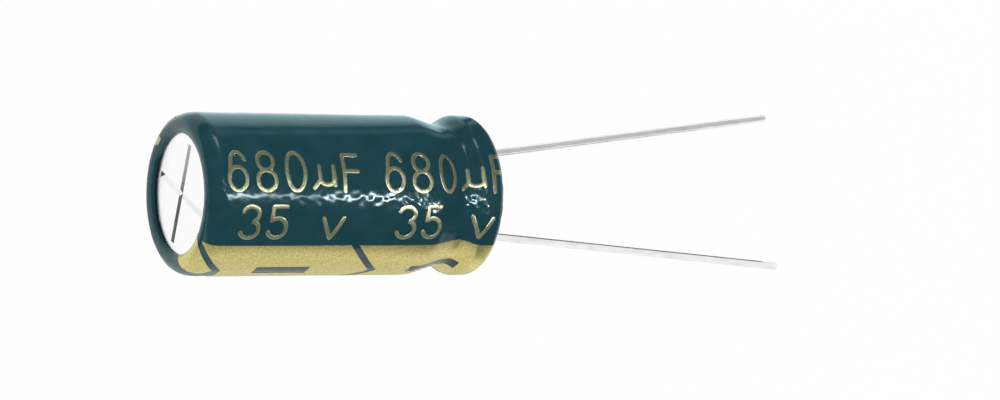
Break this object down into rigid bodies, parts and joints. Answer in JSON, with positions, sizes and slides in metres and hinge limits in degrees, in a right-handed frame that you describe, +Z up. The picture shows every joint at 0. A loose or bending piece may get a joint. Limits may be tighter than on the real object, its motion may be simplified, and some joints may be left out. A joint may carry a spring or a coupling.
{
  "type": "electrolytic capacitor",
  "caption": "Radial aluminium electrolytic capacitor: sleeved round can with a cross-scored vent, a beaded end with a rubber seal, and two splayed wire leads.",
  "frame": {"origin": "centre of the seating plane, on the axis of the can between the two leads, where the sleeve's lowest edge would touch a board", "axes": "+Z up the can from the seating plane to the vent, +X towards the anode lead, -X towards the cathode lead on the side of the stripe, -Y the printed front"},
  "size_m": [0.0108, 0.0104, 0.0449],
  "materials": {
    "sleeve_film": "dark teal shrink film, glossy with fine wrinkles",
    "stripe_print": "pale gold metallic ink, slightly grainy",
    "can_metal": "bright drawn aluminium",
    "seal_rubber": "matt black rubber",
    "anode_metal": "etched grey aluminium foil",
    "cathode_metal": "etched light aluminium foil",
    "separator_paper": "soaked kraft paper",
    "tape_film": "thin amber film",
    "tab_metal": "plain aluminium",
    "lead_metal": "tinned copper-clad steel wire"
  },
  "bodies": {
    "root": {"sleeve": "sleeve_film", "polarity_stripe": "stripe_print", "can": "can_metal", "end_seal": "seal_rubber", "anode_foil": "anode_metal", "inner_separator": "separator_paper", "cathode_foil": "cathode_metal", "outer_separator": "separator_paper", "winding_tape": "tape_film", "anode_tab": "tab_metal", "cathode_tab": "tab_metal", "anode_lead": "lead_metal", "cathode_lead": "lead_metal"}
  },
  "joints": []
}
